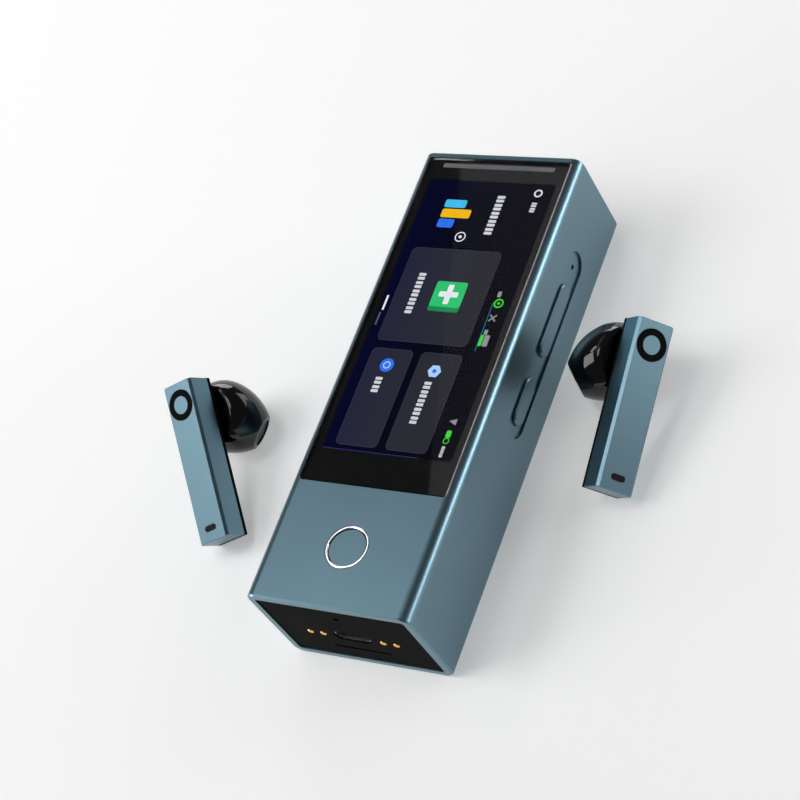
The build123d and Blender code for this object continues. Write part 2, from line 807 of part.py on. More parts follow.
def cradle_magnet_xs():
    outer = (stored_x + stem_width / 2 + well_side_gap + bore_x) / 2
    return (-outer, -cradle_magnet_inset, cradle_magnet_inset, outer)


def cradle_magnets():
    magnets = Part()
    span = (chamber_floor_y - cradle_magnet_length, chamber_floor_y)
    for x in cradle_magnet_xs():
        magnets += rod_y(cradle_magnet_radius, span, x, stored_z)
    return magnets


def charge_pins(side):
    pins = Part()
    for y in charge_pin_ys:
        flange_floor = cradle_top_z + fit_gap
        shaft = rod_z(charge_pin_radius, (charge_pin_tip, flange_floor), side * stored_x, y)
        shaft = chamfer(edges_at(shaft, "Z", charge_pin_tip), charge_pin_tip_chamfer)
        flange = (flange_floor, flange_floor + charge_pin_flange)
        pins += shaft + rod_z(charge_pin_flange_radius, flange, side * stored_x, y)
    return pins


def charge_pin_boards():
    boards = Part()
    half_x = pin_boss_width / 2 + pin_board_margin
    half_y = pin_boss_length / 2 + pin_board_margin
    for side in (-1, 1):
        middle = side * stored_x
        boards += block((middle - half_x, middle + half_x), (pin_boss_y - half_y, pin_boss_y + half_y),
                        (pin_boss_top, pin_boss_top + pin_board_thickness))
    return boards


# ---------------------------------------------------------------- earbud, in its own axes
# Origin at the stem's centre, +X across the front face, +Y up the stem, +Z out of the front face.
# side is 1 for the earbud whose bud leans to +X and -1 for its mirror image.
stem_front = stem_depth / 2
stem_back = -stem_depth / 2
stem_seam = stem_back + back_cover_thickness
stem_top = stem_length / 2
stem_half = stem_width / 2
stem_ring_y = stem_top - touch_ring_drop
stem_slot_y = stem_slot_rise - stem_top
stem_contact_ys = [stem_contact_rise - stem_top + step * stem_contact_pitch for step in (0, 1)]
bud_cut = stem_back - neck_length


def stem_slot(inset, z_span):
    low, high = z_span
    outline = SlotOverall(stem_slot_length - 2 * inset, stem_slot_width - 2 * inset)
    return Pos(0, stem_slot_y, low) * extrude(outline, high - low)


def stem_shell():
    shell = block((-stem_half, stem_half), (-stem_top, stem_top), (stem_seam, stem_front))
    long_edges = [edge for edge in shell.edges().filter_by(Axis.Y) if edge.center().Z > 0]
    shell = chamfer(long_edges, stem_edge_chamfer)
    shell = chamfer(edges_at(shell, "Y", stem_top) + edges_at(shell, "Y", -stem_top), stem_end_chamfer)
    inner = stem_half - stem_wall
    inner_top = stem_top - stem_end_wall
    shell -= block((-inner, inner), (-inner_top, inner_top), (stem_seam, stem_front - stem_wall))
    shell -= ring_band(touch_ring_outer / 2, touch_ring_inner / 2)
    return shell - stem_slot(0, (stem_front - stem_wall, stem_front))


def stem_back_cover():
    cover = block((-stem_half, stem_half), (-stem_top, stem_top), (stem_back, stem_seam))
    cover = fillet(edges_at(cover, "Z", stem_back), back_cover_radius)
    for y in stem_contact_ys:
        cover -= rod_z(stem_contact_radius + fit_gap, (stem_back, stem_back + stem_contact_depth), 0, y)
    return cover


def ring_band(outer, inner):
    span = (stem_front - touch_ring_depth, stem_front)
    return rod_z(outer, span, 0, stem_ring_y) - rod_z(inner, span, 0, stem_ring_y)


def touch_ring():
    return ring_band(touch_ring_outer / 2 - fit_gap, touch_ring_inner / 2 + fit_gap)


def stem_microphone_mesh():
    return stem_slot(fit_gap, (stem_front - stem_wall, stem_front - stem_slot_recess))


def stem_contacts():
    pads = Part()
    for y in stem_contact_ys:
        pads += rod_z(stem_contact_radius, (stem_back, stem_back + stem_contact_depth), 0, y)
    return pads


def stem_board():
    half = stem_half - stem_wall - stem_board_gap
    long_half = stem_top - stem_end_wall - stem_board_gap
    top = stem_front - stem_wall - stem_board_gap
    return block((-half, half), (-long_half, long_half), (top - stem_board_thickness, top))


def bud_frame(side):
    """Place of the bud's front face: its axis is the frame's Z."""
    aim = Vector(side * bud_aim.X, bud_aim.Y, bud_aim.Z)
    centre = Vector(side * bud_aside, bud_rise, -bud_set_back)
    return Plane(origin=centre + aim * bud_front_length, z_dir=aim).location


def bud_solid(side):
    """Whole bud: flat front, flank that swells to the widest ring, round back cut behind the stem."""
    swell = bud_radius - bud_face_radius
    flank_radius = (swell ** 2 + bud_front_length ** 2) / (2 * swell)
    flank_turn = asin(bud_front_length / flank_radius)
    flank_centre = bud_radius - flank_radius
    flank_rise = flank_radius * sin(flank_turn / 2)
    flank_middle = (flank_centre + flank_radius * cos(flank_turn / 2), flank_rise - bud_front_length)
    back_middle = (bud_radius * cos(pi / 4), -bud_front_length - bud_radius * sin(pi / 4))
    face_arc_radius = (bud_face_radius ** 2 + bud_face_bulge ** 2) / (2 * bud_face_bulge)
    face_sag = face_arc_radius - sqrt(face_arc_radius ** 2 - (bud_face_radius / 2) ** 2)
    tip = (0, bud_face_bulge)
    rim = (bud_face_radius, 0)
    widest = (bud_radius, -bud_front_length)
    back = (0, -bud_front_length - bud_radius)
    outline = Line(back, tip)
    outline += ThreePointArc(tip, (bud_face_radius / 2, bud_face_bulge - face_sag), rim)
    outline += ThreePointArc(rim, flank_middle, widest)
    outline += ThreePointArc(widest, back_middle, back)
    whole = bud_frame(side) * revolve(Plane.XZ * make_face(outline), Axis.Z)
    room = 3 * bud_radius
    return whole & block((-room, room), (-room, 2 * room), (-2 * room, bud_cut))


def bud_slab(side, low, high):
    """Slab across the bud's axis, between two distances from its front face."""
    return bud_frame(side) * rod_z(2 * bud_radius, (low, high), 0, 0)


def bud_bore(side, radius, low, high):
    return bud_frame(side) * rod_z(radius, (low, high), 0, 0)


def bud_shell(side):
    shell = bud_solid(side) - bud_slab(side, -front_cap_depth, 2 * bud_radius)
    shell = fillet(edges_at(shell, "Z", bud_cut), bud_back_fillet)
    shell += rod_z(neck_radius, (bud_cut - neck_root, stem_back), side * neck_aside, bud_rise)
    driver_end = -front_cap_depth - driver_length - seat_gap
    coin_end = driver_end - coin_length - seat_gap
    shell -= bud_bore(side, driver_radius + fit_gap, driver_end, -front_cap_depth)
    return shell - bud_bore(side, coin_radius + fit_gap, coin_end, driver_end)


def bud_front_cap(side):
    cap = bud_solid(side) & bud_slab(side, -front_cap_depth, 2 * bud_radius)
    cap -= bud_bore(side, grille_radius - grille_seat, -front_cap_depth, bud_face_bulge)
    return cap - bud_bore(side, grille_radius + fit_gap, -grille_sink - grille_thickness, bud_face_bulge)


def bud_grille(side):
    return bud_bore(side, grille_radius, -grille_sink - grille_thickness, -grille_sink)


def bud_driver(side):
    return bud_bore(side, driver_radius, -front_cap_depth - driver_length, -front_cap_depth)


def bud_battery(side):
    start = -front_cap_depth - driver_length - seat_gap
    return bud_bore(side, coin_radius, start - coin_length, start)


def lying_place(side, spot, heading, rise, roll):
    """Location that lays an earbud on the table: the lowest of its stem and bud touches Z = 0."""
    turn, lift, lean = radians(heading), radians(rise), radians(roll)
    along = Vector(sin(turn) * cos(lift), cos(turn) * cos(lift), sin(lift))
    upward = Vector(-sin(turn) * sin(lift), -cos(turn) * sin(lift), cos(lift))
    front = upward * cos(lean) + along.cross(upward) * sin(lean)
    tilt = Plane(origin=(0, 0, 0), x_dir=along.cross(front), z_dir=front).location
    outside = [stem_shell(), stem_back_cover(), bud_shell(side), bud_front_cap(side)]
    lowest = min((tilt * piece).bounding_box().min.Z for piece in outside)
    return Pos(*spot, -lowest) * tilt


def earbud_pieces(side):
    return {
        "stem_shell": stem_shell(),
        "stem_back_cover": stem_back_cover(),
        "touch_ring": touch_ring(),
        "stem_microphone_mesh": stem_microphone_mesh(),
        "stem_contacts": stem_contacts(),
        "stem_board": stem_board(),
        "bud_shell": bud_shell(side),
        "bud_front_cap": bud_front_cap(side),
        "bud_grille": bud_grille(side),
        "bud_driver": bud_driver(side),
        "bud_battery": bud_battery(side),
    }


# ---------------------------------------------------------------- assembly
def all_nodes():
    nodes = {
        "housing_tube": housing_tube(),
        "bottom_end_cap": bottom_end_cap(),
        "cover_glass": cover_glass(),
        "bezel_mask": bezel_mask(),
        "display_panel": display_panel(),
        "display_ribbon": display_ribbon(),
        "status_light_strip": status_light_strip(),
        "home_button_ring": home_button_ring(),
        "home_button_cap": home_button_cap(),
        "home_dome_switch": home_dome_switch(),
        "volume_rocker": volume_rocker(),
        "power_key": power_key(),
        "side_switch_board": side_switch_board(),
        "side_dome_switches": side_dome_switches(),
        "side_microphone": side_microphone(),
        "dock_contacts": dock_contacts(),
        "usb_receptacle_shell": usb_receptacle_shell(),
        "usb_tongue": usb_tongue(),
        "bottom_microphone": bottom_microphone(),
        "loudspeaker": loudspeaker(),
        "antenna_module": antenna_module(),
        "lower_board": lower_board(),
        "chassis": chassis(),
        "main_board": main_board(),
        "board_screws": board_screws(),
        "shield_cans": shield_cans(),
        "battery_cell": battery_cell(),
        "vibration_motor": vibration_motor(),
        "earbud_cradle": earbud_cradle(),
        "cradle_magnets": cradle_magnets(),
        "charge_pin_boards": charge_pin_boards(),
        "left_charge_pins": charge_pins(-1),
        "right_charge_pins": charge_pins(1),
        "top_lid": top_lid(),
        "lid_magnet": lid_magnet(),
        "keeper_magnet": keeper_magnet(),
        "lid_hinge_pin": lid_hinge_pin(),
    }
    left_place = lying_place(1, left_spot, left_heading, left_rise, left_roll)
    right_place = lying_place(-1, right_spot, right_heading, right_rise, right_roll)
    for name, side, place in (("left", 1, left_place), ("right", -1, right_place)):
        for piece, shape in earbud_pieces(side).items():
            nodes[f"{name}_{piece}"] = place * shape
    return nodes


os.makedirs("parts", exist_ok=True)
for node, shape in all_nodes().items():
    export_step(shape, f"parts/{node}.step")
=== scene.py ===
import bpy
import bmesh
import math
from mathutils import Matrix, Vector


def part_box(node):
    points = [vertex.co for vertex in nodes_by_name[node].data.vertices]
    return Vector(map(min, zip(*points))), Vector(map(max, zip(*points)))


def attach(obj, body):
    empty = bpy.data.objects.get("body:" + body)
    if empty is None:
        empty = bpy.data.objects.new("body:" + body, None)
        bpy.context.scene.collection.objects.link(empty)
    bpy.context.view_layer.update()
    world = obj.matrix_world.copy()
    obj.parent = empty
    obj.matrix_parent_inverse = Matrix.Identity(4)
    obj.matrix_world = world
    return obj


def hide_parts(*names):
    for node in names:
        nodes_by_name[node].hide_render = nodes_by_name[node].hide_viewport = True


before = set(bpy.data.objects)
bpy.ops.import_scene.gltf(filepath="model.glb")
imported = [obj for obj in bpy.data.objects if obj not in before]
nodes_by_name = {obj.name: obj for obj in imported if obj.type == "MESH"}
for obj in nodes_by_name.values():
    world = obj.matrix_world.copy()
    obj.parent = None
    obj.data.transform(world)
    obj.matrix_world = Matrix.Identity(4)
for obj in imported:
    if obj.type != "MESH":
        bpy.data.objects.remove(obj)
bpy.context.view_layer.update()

MM = 0.001

# ------------------------------------------------------------------ material helpers
NOISE_LOW, NOISE_HIGH = 0.3, 0.7    # nearly all of a noise texture's values lie between these
ROUGHNESS_SCALE = 0.6               # pattern of the roughness against that of the bump
GRAIN_STRENGTH = 0.35


class Shader:
    """A material's node tree with one Principled shader, and short calls for the nodes it uses."""

    def __init__(self, name, **values):
        self.material = bpy.data.materials.new(name)
        self.material.use_nodes = True
        self.tree = self.material.node_tree
        self.bsdf = self.tree.nodes["Principled BSDF"]
        self.place = self.tree.nodes.new("ShaderNodeTexCoord").outputs["Object"]
        for socket, value in values.items():
            self.bsdf.inputs[socket.replace("_", " ")].default_value = value

    def node(self, kind, **settings):
        made = self.tree.nodes.new(kind)
        for key, value in settings.items():
            setattr(made, key, value)
        return made

    def link(self, source, target):
        self.tree.links.new(source, target)

    def noise(self, scale, detail=2.0):
        made = self.node("ShaderNodeTexNoise")
        made.inputs["Scale"].default_value = scale
        made.inputs["Detail"].default_value = detail
        self.link(self.place, made.inputs["Vector"])
        return made.outputs["Fac"]

    def remap(self, source, low, high, from_low=NOISE_LOW, from_high=NOISE_HIGH):
        made = self.node("ShaderNodeMapRange")
        made.inputs["From Min"].default_value = from_low
        made.inputs["From Max"].default_value = from_high
        made.inputs["To Min"].default_value = low
        made.inputs["To Max"].default_value = high
        self.link(source, made.inputs["Value"])
        return made.outputs["Result"]

    def ramp(self, source, stops):
        made = self.node("ShaderNodeValToRGB")
        band = made.color_ramp.elements
        while len(band) < len(stops):
            band.new(0.5)
        for element, (position, colour) in zip(band, stops):
            element.position = position
            element.color = (*colour, 1.0)
        self.link(source, made.inputs["Fac"])
        return made.outputs["Color"]

    def axis(self, name):
        made = self.node("ShaderNodeSeparateXYZ")
        self.link(self.place, made.inputs["Vector"])
        return made.outputs[name]

    def bump(self, height, strength, distance):
        made = self.node("ShaderNodeBump")
        made.inputs["Strength"].default_value = strength
        made.inputs["Distance"].default_value = distance
        self.link(height, made.inputs["Height"])
        self.link(made.outputs["Normal"], self.bsdf.inputs["Normal"])

    def colour(self, source):
        self.link(source, self.bsdf.inputs["Base Color"])

    def rough(self, source):
        self.link(source, self.bsdf.inputs["Roughness"])

    def glow(self, source):
        self.link(source, self.bsdf.inputs["Emission Color"])


def linear(red, green, blue):
    """Screen colour, 0 to 255, as linear light, by the sRGB curve."""
    levels = (red, green, blue)
    return tuple(((c / 255 + 0.055) / 1.055) ** 2.4 if c > 10 else c / 255 / 12.92 for c in levels)


def shade(colour, factor):
    return tuple(channel * factor for channel in colour)


def mottled(name, colour, spread, scale, rough, grain, depth, metallic=0.0, **values):
    """Colour and roughness that drift a little over the surface, and a fine grain in the bump."""
    shader = Shader(name, Metallic=metallic, **values)
    stops = [(NOISE_LOW, shade(colour, 1 - spread)), (NOISE_HIGH, shade(colour, 1 + spread))]
    shader.colour(shader.ramp(shader.noise(scale), stops))
    shader.rough(shader.remap(shader.noise(grain * ROUGHNESS_SCALE), *rough))
    shader.bump(shader.noise(grain, detail=3.0), GRAIN_STRENGTH, depth)
    return shader.material


# ------------------------------------------------------------------ materials
# Each row: colour, its spread, scale of the drift, roughness, scale and depth of the grain.
teal = mottled("anodised_teal", linear(108, 137, 150), 0.03, 40.0, (0.33, 0.38), 5200.0, 0.000003,
               metallic=1.0)
black_matte = mottled("black_moulding", linear(23, 23, 24), 0.10, 90.0, (0.40, 0.50), 4200.0, 0.000008,
                      Specular_IOR_Level=0.006)
black_gloss = mottled("black_polished", linear(7, 7, 8), 0.05, 60.0, (0.03, 0.05), 700.0, 0.0000010,
                      Specular_IOR_Level=0.5)
steel = mottled("stamped_steel", linear(150, 152, 156), 0.05, 80.0, (0.25, 0.38), 3000.0, 0.000006,
                metallic=1.0)
bright_steel = mottled("polished_ring", linear(222, 214, 218), 0.02, 80.0, (0.10, 0.16), 3000.0, 0.000002,
                       metallic=1.0)
gold = mottled("gold_plate", linear(236, 184, 66), 0.04, 300.0, (0.2, 0.3), 4000.0, 0.000004, metallic=1.0)
nickel = mottled("nickel_plate", linear(176, 172, 166), 0.04, 120.0, (0.18, 0.28), 3000.0, 0.000003,
                 metallic=1.0)
ribbon_film = mottled("ribbon_film", linear(168, 98, 30), 0.06, 150.0, (0.25, 0.35), 900.0, 0.000006)
foil = mottled("cell_foil", linear(150, 154, 160), 0.05, 60.0, (0.3, 0.45), 500.0, 0.00003, metallic=0.8)
board_green = mottled("board_mask", linear(20, 84, 52), 0.15, 600.0, (0.3, 0.42), 1500.0, 0.00002)
inner_black = mottled("inner_moulding", linear(34, 34, 36), 0.08, 120.0, (0.5, 0.62), 3000.0, 0.000012)
tongue_grey = mottled("tongue_moulding", linear(140, 140, 144), 0.08, 150.0, (0.35, 0.45), 2500.0, 0.000006)
light_guide = mottled("light_guide", linear(134, 132, 138), 0.05, 200.0, (0.35, 0.45), 1500.0, 0.000004)
mask_black = mottled("mask_film", linear(14, 14, 15), 0.05, 100.0, (0.02, 0.04), 300.0, 0.0000002,
                     Specular_IOR_Level=0.50)

WAVES_PER_UNIT = 3.0            # bands in one unit of the wave texture at scale 1, about
MESH_STRENGTH = 0.8
MESH_DEPTH = 0.00004
GLASS_TINT = [(NOISE_LOW, (0.93, 0.94, 0.96)), (NOISE_HIGH, (0.96, 0.97, 0.98))]
# Painted highlight: the glass edge's colour turns bright between these distances from the middle, so only the
# two long sides glint.
HIGHLIGHT_SIDE_EDGE = (0.0180, 0.0184)    # where the long edges of the glass begin, from the middle


def wire_mesh(name, colour, pitch):
    """Woven wire: two sets of threads as waves across each other."""
    shader = Shader(name, Metallic=1.0)
    waves = []
    for axis in ("X", "Y", "Z"):
        wave = shader.node("ShaderNodeTexWave", bands_direction=axis)
        wave.inputs["Scale"].default_value = 1 / pitch / WAVES_PER_UNIT
        shader.link(shader.place, wave.inputs["Vector"])
        waves.append(wave.outputs["Fac"])
    joined = waves[0]
    for wave in waves[1:]:
        most = shader.node("ShaderNodeMath", operation="MAXIMUM")
        shader.link(joined, most.inputs[0])
        shader.link(wave, most.inputs[1])
        joined = most.outputs["Value"]
    shader.colour(shader.ramp(joined, [(0.4, shade(colour, 0.15)), (0.9, colour)]))
    shader.rough(shader.remap(joined, 0.6, 0.35))
    shader.bump(joined, MESH_STRENGTH, MESH_DEPTH)
    return shader.material


def glass_material():
    shader = Shader("cover_glass", Metallic=0.0, Roughness=0.0, IOR=1.15, Transmission_Weight=1.0)
    shader.colour(shader.ramp(shader.noise(30.0), GLASS_TINT))
    return shader.material


def glass_edge_material():
    """The ground edge of the glass, with a painted highlight: its colour is dark on the short sides and
    bright pinkish grey on the two long sides.
    """
    shader = Shader("glass_edge_painted_highlight", Metallic=1.0)
    size = shader.node("ShaderNodeMath", operation="ABSOLUTE")
    shader.link(shader.axis("X"), size.inputs[0])
    across = shader.remap(size.outputs["Value"], 0.0, 1.0, *HIGHLIGHT_SIDE_EDGE)
    # Painted highlight: dark colour on the short sides, bright colour on the long sides.
    shader.colour(shader.ramp(across, [(0.0, linear(14, 14, 16)), (1.0, linear(226, 206, 212))]))
    shader.rough(shader.remap(shader.noise(900.0), 0.30, 0.40))
    return shader.material


dark_mesh = wire_mesh("woven_mesh", linear(38, 36, 38), 0.00035)
glass = glass_material()
glass_edge_painted_highlight = glass_edge_material()

# ------------------------------------------------------------------ finish of the CAD nodes
FINISHES = {
    teal: "housing_tube home_button_cap volume_rocker power_key left_stem_shell right_stem_shell",
    black_matte: "bottom_end_cap top_lid left_stem_back_cover right_stem_back_cover left_touch_ring "
                 "right_touch_ring",
    black_gloss: "left_bud_shell right_bud_shell left_bud_front_cap right_bud_front_cap",
    glass: "cover_glass",
    mask_black: "bezel_mask",
    light_guide: "status_light_strip",
    bright_steel: "home_button_ring",
    gold: "dock_contacts left_charge_pins right_charge_pins left_stem_contacts right_stem_contacts",
    steel: "home_dome_switch side_dome_switches side_microphone usb_receptacle_shell bottom_microphone "
           "chassis board_screws shield_cans vibration_motor lid_hinge_pin left_bud_battery "
           "right_bud_battery",
    nickel: "cradle_magnets keeper_magnet lid_magnet",
    ribbon_film: "display_ribbon antenna_module",
    foil: "battery_cell",
    board_green: "side_switch_board lower_board main_board charge_pin_boards left_stem_board "
                 "right_stem_board",
    tongue_grey: "usb_tongue",
    inner_black: "loudspeaker earbud_cradle left_bud_driver right_bud_driver",
    dark_mesh: "left_stem_microphone_mesh right_stem_microphone_mesh left_bud_grille right_bud_grille",
}


def finish_node(name, material):
    mesh = nodes_by_name[name].data
    mesh.materials.clear()
    mesh.materials.append(material)


for material, names in FINISHES.items():
    for name in names.split():
        finish_node(name, material)

# ------------------------------------------------------------------ mesh helpers
STROKE_PAIR = ((0.0, 0.34), (0.46, 0.8))    # start and end of each stroke, as parts of the pitch
BAR_ROUNDING = 0.3                          # corner radius of a bar over its shorter side
CORNER_STEPS, DISC_STEPS, HOOP_STEPS = 6, 28, 32


def new_piece(name, mesh, material, body):
    mesh.materials.append(material)
    piece = bpy.data.objects.new(name, mesh)
    bpy.context.scene.collection.objects.link(piece)
    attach(piece, body)
    return piece


def mesh_of(bm, name):
    bmesh.ops.recalc_face_normals(bm, faces=bm.faces)
    mesh = bpy.data.meshes.new(name)
    bm.to_mesh(mesh)
    bm.free()
    return mesh


def loop_of(bm, outline, z):
    return [bm.verts.new((x * MM, y * MM, z * MM)) for x, y in outline]


def raise_faces(bm, faces, height):
    """Thickens these faces upwards into closed slabs."""
    made = bmesh.ops.extrude_face_region(bm, geom=faces)["geom"]
    top = [item for item in made if isinstance(item, bmesh.types.BMVert)]
    bmesh.ops.translate(bm, verts=top, vec=(0, 0, height * MM))


def slabs(name, outlines, z_low, z_high, material):
    """One mesh of flat slabs. Each outline is a list of (x, y) in millimetres, drawn anticlockwise."""
    bm = bmesh.new()
    for outline in outlines:
        face = bm.faces.new(loop_of(bm, outline, z_low))
        raise_faces(bm, [face], z_high - z_low)
    return new_piece(name, mesh_of(bm, name), material, "hub")


def frame_ring(name, outer, inner, z_outer, z_inner, thickness, material):
    """Closed ring between two outlines of equal count, z_outer and z_inner being its upper edge heights."""
    bm = bmesh.new()
    corners = ((outer, z_outer), (inner, z_inner), (inner, z_inner - thickness), (outer, z_outer - thickness))
    loops = [loop_of(bm, outline, z) for outline, z in corners]
    count = len(outer)
    for near, far in zip(loops, loops[1:] + loops[:1]):
        for i in range(count):
            bm.faces.new((near[i], near[(i + 1) % count], far[(i + 1) % count], far[i]))
    return new_piece(name, mesh_of(bm, name), material, "hub")


def plate_with_holes(name, outline, holes, z_low, z_high, material):
    """Flat closed plate with openings through it, in millimetres."""
    bm = bmesh.new()
    edges = []
    for loop in [outline] + holes:
        verts = loop_of(bm, loop, z_low)
        edges += [bm.edges.new((verts[i - 1], verts[i])) for i in range(len(verts))]
    filled = bmesh.ops.triangle_fill(bm, use_beauty=True, use_dissolve=False, edges=edges)["geom"]
    faces = [item for item in filled if isinstance(item, bmesh.types.BMFace)]
    raise_faces(bm, faces, z_high - z_low)
    return new_piece(name, mesh_of(bm, name), material, "hub")


def arc(x, y, radius, start, end, steps):
    turns = [math.radians(start + (end - start) * step / steps) for step in range(steps + 1)]
    return [(x + radius * math.cos(turn), y + radius * math.sin(turn)) for turn in turns]


def rounded(x_low, x_high, y_low, y_high, radius):
    corners = ((x_high, y_low, -90), (x_high, y_high, 0), (x_low, y_high, 90), (x_low, y_low, 180))
    outline = []
    for x, y, start in corners:
        inward_x = x - radius if x == x_high else x + radius
        inward_y = y - radius if y == y_high else y + radius
        outline += arc(inward_x, inward_y, radius, start, start + 90, CORNER_STEPS)
    return outline


def bar(x, y_low, y_high, width):
    """Round-cornered bar, centred on this X."""
    return rounded(x - width / 2, x + width / 2, y_low, y_high, min(width, y_high - y_low) * BAR_ROUNDING)


def words(x, y_start, count, pitch, height):
    """Strokes in pairs that stand for a line of writing, which runs toward -Y at this X."""
    strokes = []
    for place in range(count):
        y = y_start - place * pitch
        for start, end in STROKE_PAIR:
            strokes.append(bar(x, y - end * pitch, y - start * pitch, height))
    return strokes


def disc(x, y, radius):
    return arc(x, y, radius, 0, 360 - 360 / DISC_STEPS, DISC_STEPS - 1)


def hoop(x, y, radius, width):
    """Ring as a closed band of quads."""
    outer = arc(x, y, radius, 0, 360, HOOP_STEPS)
    inner = arc(x, y, radius - width, 0, 360, HOOP_STEPS)
    return [[outer[i], outer[i + 1], inner[i + 1], inner[i]] for i in range(HOOP_STEPS)]


# ------------------------------------------------------------------ the lit screen


def screen_shader(name):
    """A picture element of the screen: black, and giving its own light."""
    shader = Shader(name, Roughness=0.5, Emission_Strength=1.0, Specular_IOR_Level=0.0)
    shader.bsdf.inputs["Base Color"].default_value = (0.0, 0.0, 0.0, 1.0)
    return shader


def lit(name, colour):
    """Light that drifts a little from place to place."""
    shader = screen_shader(name)
    stops = [(NOISE_LOW, shade(colour, 0.94)), (NOISE_HIGH, shade(colour, 1.04))]
    shader.glow(shader.ramp(shader.noise(400.0), stops))
    return shader.material


def lit_gradient(name, stops, x_low, x_high):
    """Light whose colour changes across the screen, between these two places in millimetres."""
    shader = screen_shader(name)
    across = shader.remap(shader.axis("X"), 0.0, 1.0, x_low * MM, x_high * MM)
    shader.glow(shader.ramp(across, stops))
    return shader.material


def outline_of(low, high, radius, inset=0.0):
    return rounded(low.x + inset, high.x - inset, low.y + inset, high.y - inset, radius)


glass_low, glass_high = (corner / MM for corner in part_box("cover_glass"))
GLASS_CORNER = 0.8
EDGE = 0.2              # the chamfer round the glass
EDGE_PROUD = 0.01
EDGE_THICKNESS = 0.012
edge_outer = outline_of(glass_low, glass_high, GLASS_CORNER)
edge_inner = outline_of(glass_low, glass_high, GLASS_CORNER - EDGE, EDGE)
# The chamfer ring round the glass, whose material paints a highlight on the two long sides.
frame_ring("glass_edge_painted_highlight", edge_outer, edge_inner, glass_high.z - EDGE + EDGE_PROUD, glass_high.z + EDGE_PROUD,
           EDGE_THICKNESS, glass_edge_painted_highlight)

# The mask ends a hair under the glass, so that its own gloss shows.
MASK_GAP = 0.03
WINDOW_INSET = 0.5      # how far the mask laps over the display's edge
WINDOW_CORNER = 0.5
STRIP_CORNER = 0.32
mask_low, mask_high = (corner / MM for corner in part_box("bezel_mask"))
window_low, window_high = (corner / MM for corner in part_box("display_panel"))
strip_low, strip_high = (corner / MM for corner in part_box("status_light_strip"))
mask_plate = plate_with_holes(
    "screen_mask", outline_of(mask_low, mask_high, GLASS_CORNER),
    [outline_of(window_low, window_high, WINDOW_CORNER, WINDOW_INSET),
     rounded(strip_low.x, strip_high.x, strip_low.y, strip_high.y, STRIP_CORNER)],
    mask_low.z, mask_high.z - MASK_GAP, mask_black)
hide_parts("bezel_mask")

# The picture lies in layers above the display: cards, then marks, then what covers the marks.
screen_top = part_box("display_panel")[1].z / MM
CARD_Z = (screen_top + 0.012, screen_top + 0.03)
MARK_Z = (screen_top + 0.045, screen_top + 0.07)
OVER_Z = (screen_top + 0.085, screen_top + 0.11)
LAYER_GAP = 0.004
TILE_GAP = 0.003

BACKLIGHT = [(0.0, linear(2, 5, 40)), (0.35, linear(5, 6, 26)), (0.75, linear(8, 8, 17))]
finish_node("display_panel", lit_gradient("screen_backlight", BACKLIGHT, -17, 17))

CARD_LIGHT = [(0.0, linear(38, 38, 60)), (0.6, linear(44, 44, 55)), (1.0, linear(44, 44, 50))]
card_paint = lit_gradient("screen_card", CARD_LIGHT, -14, 9)
card_rim_paint = lit("screen_card_rim", linear(60, 60, 74))
white_paint = lit("screen_white", linear(240, 240, 244))
word_paint = lit("screen_word", linear(214, 214, 219))
grey_paint = lit("screen_grey", linear(150, 148, 154))
dim_paint = lit("screen_dim", linear(88, 88, 104))
cyan_paint = lit("screen_cyan", linear(70, 190, 240))
yellow_paint = lit("screen_yellow", linear(248, 188, 24))
blue_paint = lit("screen_blue", linear(50, 116, 240))
green_paint = lit("screen_green", linear(48, 196, 112))
dark_green_paint = lit("screen_dark_green", linear(28, 140, 82))
lime_paint = lit("screen_lime", linear(66, 220, 60))
pale_blue_paint = lit("screen_pale_blue", linear(170, 212, 255))
line_paint = lit("screen_line", linear(24, 120, 150))
edge_paint = lit("screen_edge", linear(44, 46, 104))

CARDS = ((-13.8, 9.4, 7.4, 32.7), (-13.7, -3.0, -19.95, 5.3), (-0.9, 9.6, -20.0, 5.25))
CARD_CORNER = 1.3
RIM = 0.12
slabs("screen_cards", [rounded(*card, CARD_CORNER) for card in CARDS], *CARD_Z, card_paint)
rims = []
for x_low, x_high, y_low, y_high in CARDS:
    outer = rounded(x_low, x_high, y_low, y_high, CARD_CORNER)
    inner = rounded(x_low + RIM, x_high - RIM, y_low + RIM, y_high - RIM, CARD_CORNER - RIM)
    count = len(outer)
    rims += [[outer[i], outer[(i + 1) % count], inner[(i + 1) % count], inner[i]] for i in range(count)]
slabs("screen_card_rims", rims, CARD_Z[1] + LAYER_GAP, MARK_Z[0] - LAYER_GAP, card_rim_paint)

# Lines of writing: x, start in y, signs, pitch, height.
LINES = ((3.7, 48.0, 5, 2.24, 2.0), (-8.6, 25.8, 5, 2.28, 1.8), (-9.1, -2.2, 2, 2.2, 1.8),
         (3.5, -2.2, 5, 2.24, 1.8), (12.6, 46.6, 2, 1.45, 1.3), (13.2, -17.6, 3, 0.95, 0.8))
word_strokes = [stroke for line in LINES for stroke in words(*line)]

white_marks = [
    bar(-15.3, 15.2, 19.2, 0.5), *hoop(-2.9, 36.2, 1.35, 0.25), disc(-2.9, 36.2, 0.4),
    *hoop(12.6, 49.2, 1.05, 0.35),
]

